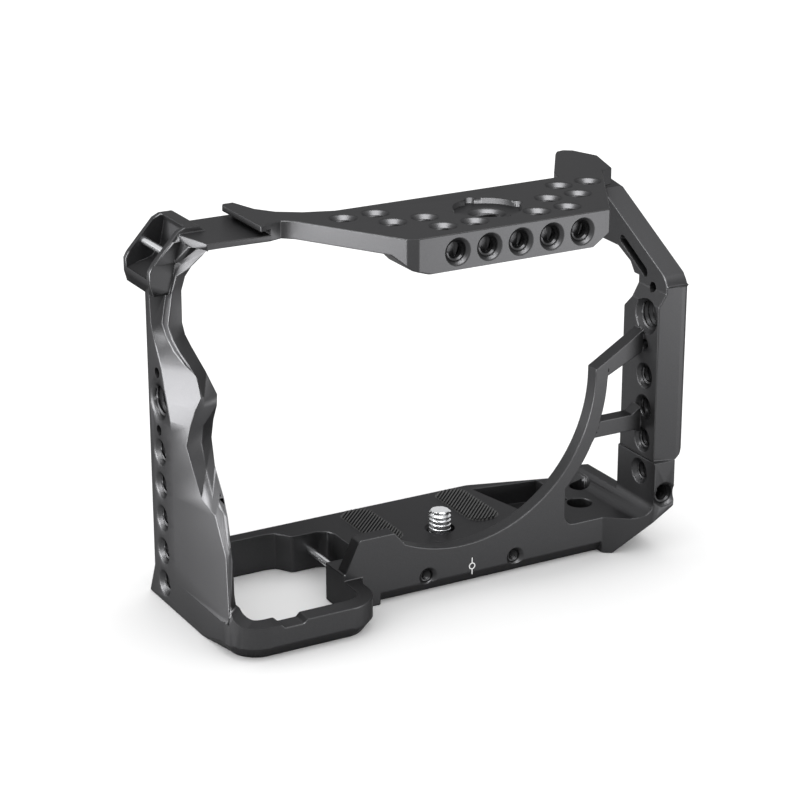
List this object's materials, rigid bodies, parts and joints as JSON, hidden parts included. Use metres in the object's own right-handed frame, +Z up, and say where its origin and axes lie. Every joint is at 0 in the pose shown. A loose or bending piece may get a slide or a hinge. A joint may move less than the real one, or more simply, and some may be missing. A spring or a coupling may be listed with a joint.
{
  "type": "camera cage",
  "caption": "open metal frame round a camera body, with a battery loop, lens arch, tapped holes and a captive base screw",
  "frame": {"origin": "under the middle of the cage, on the surface that it stands on", "axes": "+X to the right seen from the front, +Y to the back, +Z up; the front, with the lens arch, faces -Y"},
  "size_m": [0.144, 0.064, 0.106],
  "materials": {
    "anodised_alloy": "dark grey anodised, fine bead blast, bright bevelled edges",
    "black_rubber": "matte black rubber with fine slanted ribs",
    "bright_steel": "turned stainless steel",
    "black_steel": "black oxide on steel"
  },
  "bodies": {
    "cage": {"base_plate": "anodised_alloy", "battery_loop": "anodised_alloy", "right_foot": "anodised_alloy", "left_leg": "anodised_alloy", "strap_bracket": "anodised_alloy", "left_strut": "anodised_alloy", "shoe_wing": "anodised_alloy", "top_plate": "anodised_alloy", "rear_flare": "anodised_alloy", "right_arm": "anodised_alloy", "right_wall": "anodised_alloy", "side_rail": "anodised_alloy", "lens_arch": "anodised_alloy", "upper_link": "anodised_alloy", "lower_spoke": "anodised_alloy", "left_rubber_pad": "black_rubber", "right_rubber_pad": "black_rubber", "upper_strap_pin": "bright_steel", "lower_strap_pin": "bright_steel", "back_set_screw": "bright_steel", "driver_magnets": "bright_steel"},
    "clip": {"screw_clip": "black_steel"},
    "screw": {"camera_screw": "bright_steel"},
    "driver": {"flat_driver": "black_steel"}
  },
  "joints": [
    {"name": "screw_travel", "type": "slide", "parent": "cage", "child": "clip", "axis": [0, 0, 1], "range_m": [0, 0.00139]},
    {"name": "screw_turn", "type": "hinge", "parent": "clip", "child": "screw", "pos_m": [0.007, 0, 0.0086], "axis": [0, 0, 1], "range_deg": [0, 396]},
    {"name": "driver_pull", "type": "slide", "parent": "cage", "child": "driver", "axis": [0, 0, -1], "range_m": [0, 0.012]}
  ],
  "couplings": [
    {"joint": "screw_turn", "follows": "screw_travel", "rad_per_m": 4947.4}
  ]
}
